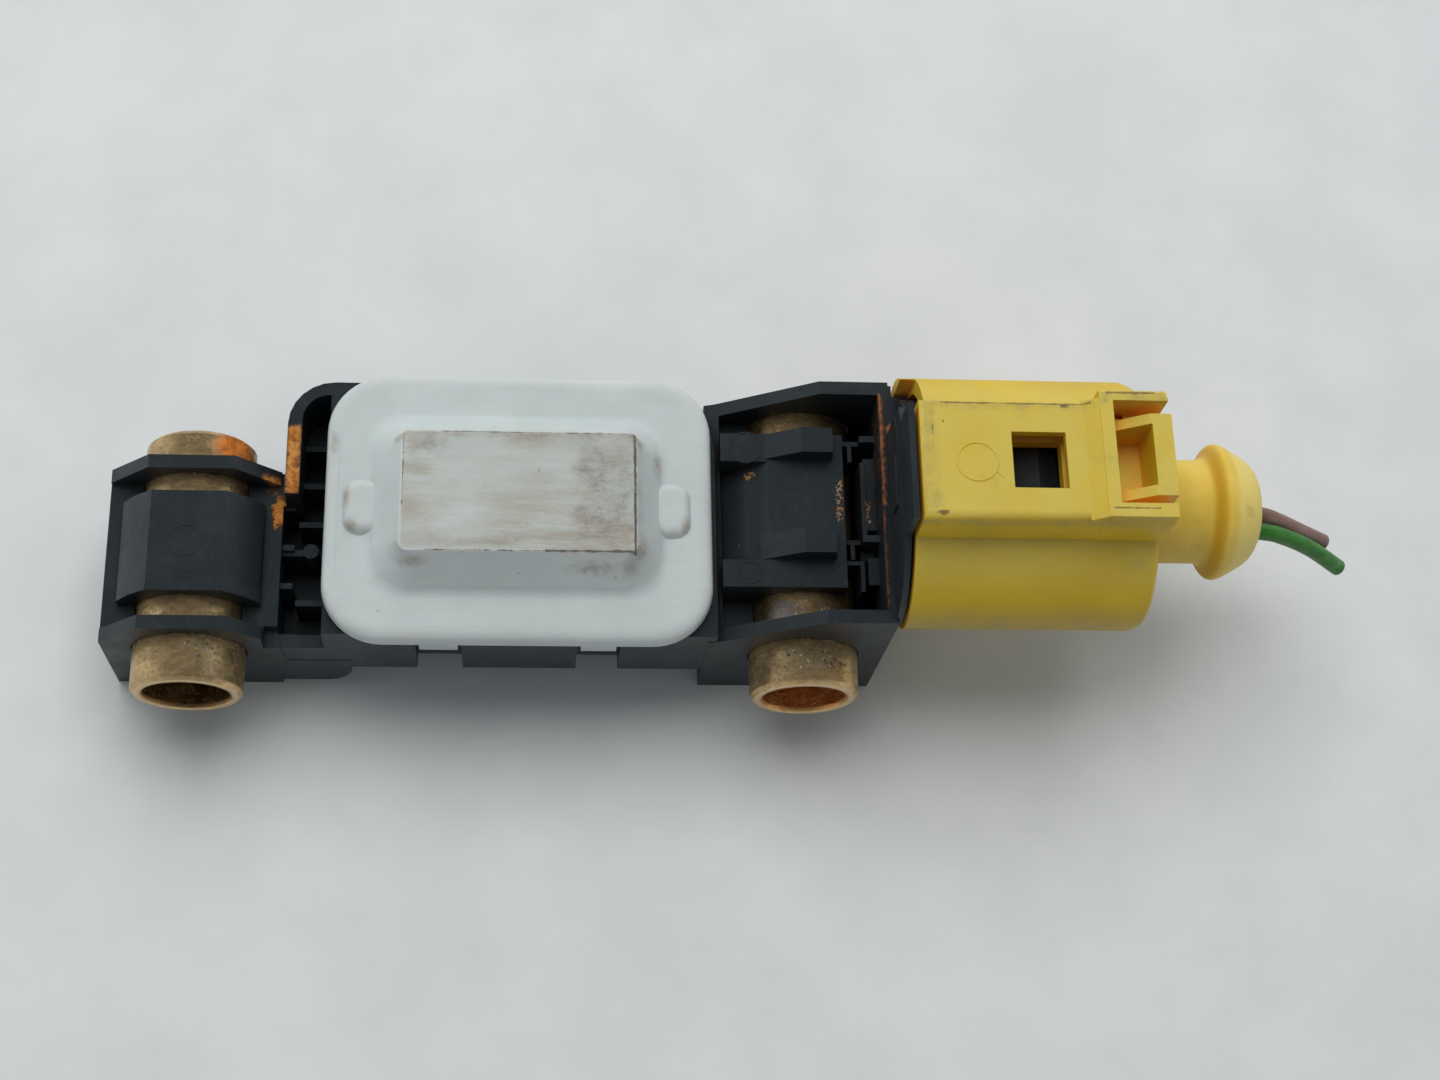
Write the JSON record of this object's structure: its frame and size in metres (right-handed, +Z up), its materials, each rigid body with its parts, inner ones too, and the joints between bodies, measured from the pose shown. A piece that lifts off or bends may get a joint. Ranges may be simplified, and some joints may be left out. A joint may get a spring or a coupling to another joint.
{
  "type": "vehicle side-impact crash sensor",
  "caption": "Crash sensor for a vehicle: black moulding with bronze mounting bushes, a white cover over its circuit board, and a yellow latched plug with short cut wires.",
  "frame": {"origin": "middle of the footprint, level with the undersides of the ear and the box", "axes": "+X along the sensor from the ear to the plug, +Y away from the mounting face, +Z up through the cover"},
  "size_m": [0.1032, 0.026, 0.0276],
  "materials": {
    "black_moulding": "fine-grained black polyester, satin",
    "aged_bronze": "tarnished, with a little corrosion",
    "milky_white": "slightly bluish white, soft sheen",
    "silicone": "dull grey",
    "board_laminate": "green solder resist",
    "chip_epoxy": "black moulded epoxy",
    "capacitor_ceramic": "tan",
    "capacitor_can": "drawn can",
    "tinned_brass": "tin plated",
    "plug_yellow": "yellow polyester, satin, a little dirty",
    "boot_yellow": "warm yellow, dull",
    "green_insulation": "green PVC",
    "brown_insulation": "brown PVC",
    "copper": "bare copper strands, shown as one core"
  },
  "bodies": {
    "sensor": {"housing": "black_moulding", "left_bush": "aged_bronze", "right_bush": "aged_bronze", "cover": "milky_white", "cover_seal": "silicone", "circuit_board": "board_laminate", "acceleration_chip": "chip_epoxy", "interface_chip": "chip_epoxy", "reverse_diode": "chip_epoxy", "input_capacitor": "capacitor_ceramic", "output_capacitor": "capacitor_ceramic", "storage_capacitor": "capacitor_can", "front_pin": "tinned_brass", "rear_pin": "tinned_brass"},
    "plug": {"plug_shell": "plug_yellow", "terminal_carrier": "plug_yellow", "carrier_seal": "silicone", "front_terminal": "tinned_brass", "rear_terminal": "tinned_brass", "wire_boot": "boot_yellow", "green_wire": "green_insulation", "green_core": "copper", "brown_wire": "brown_insulation", "brown_core": "copper"},
    "lever": {"latch_lever": "plug_yellow"}
  },
  "joints": [
    {"name": "plug_slide", "type": "slide", "parent": "sensor", "child": "plug", "axis": [1, 0, 0], "range_m": [0, 0.025]},
    {"name": "lever_hinge", "type": "hinge", "parent": "plug", "child": "lever", "pos_m": [0.02893, 0.00137, 0.024], "axis": [0, 1, 0], "range_deg": [0, 6], "stiffness_Nm_per_rad": 0.03}
  ]
}
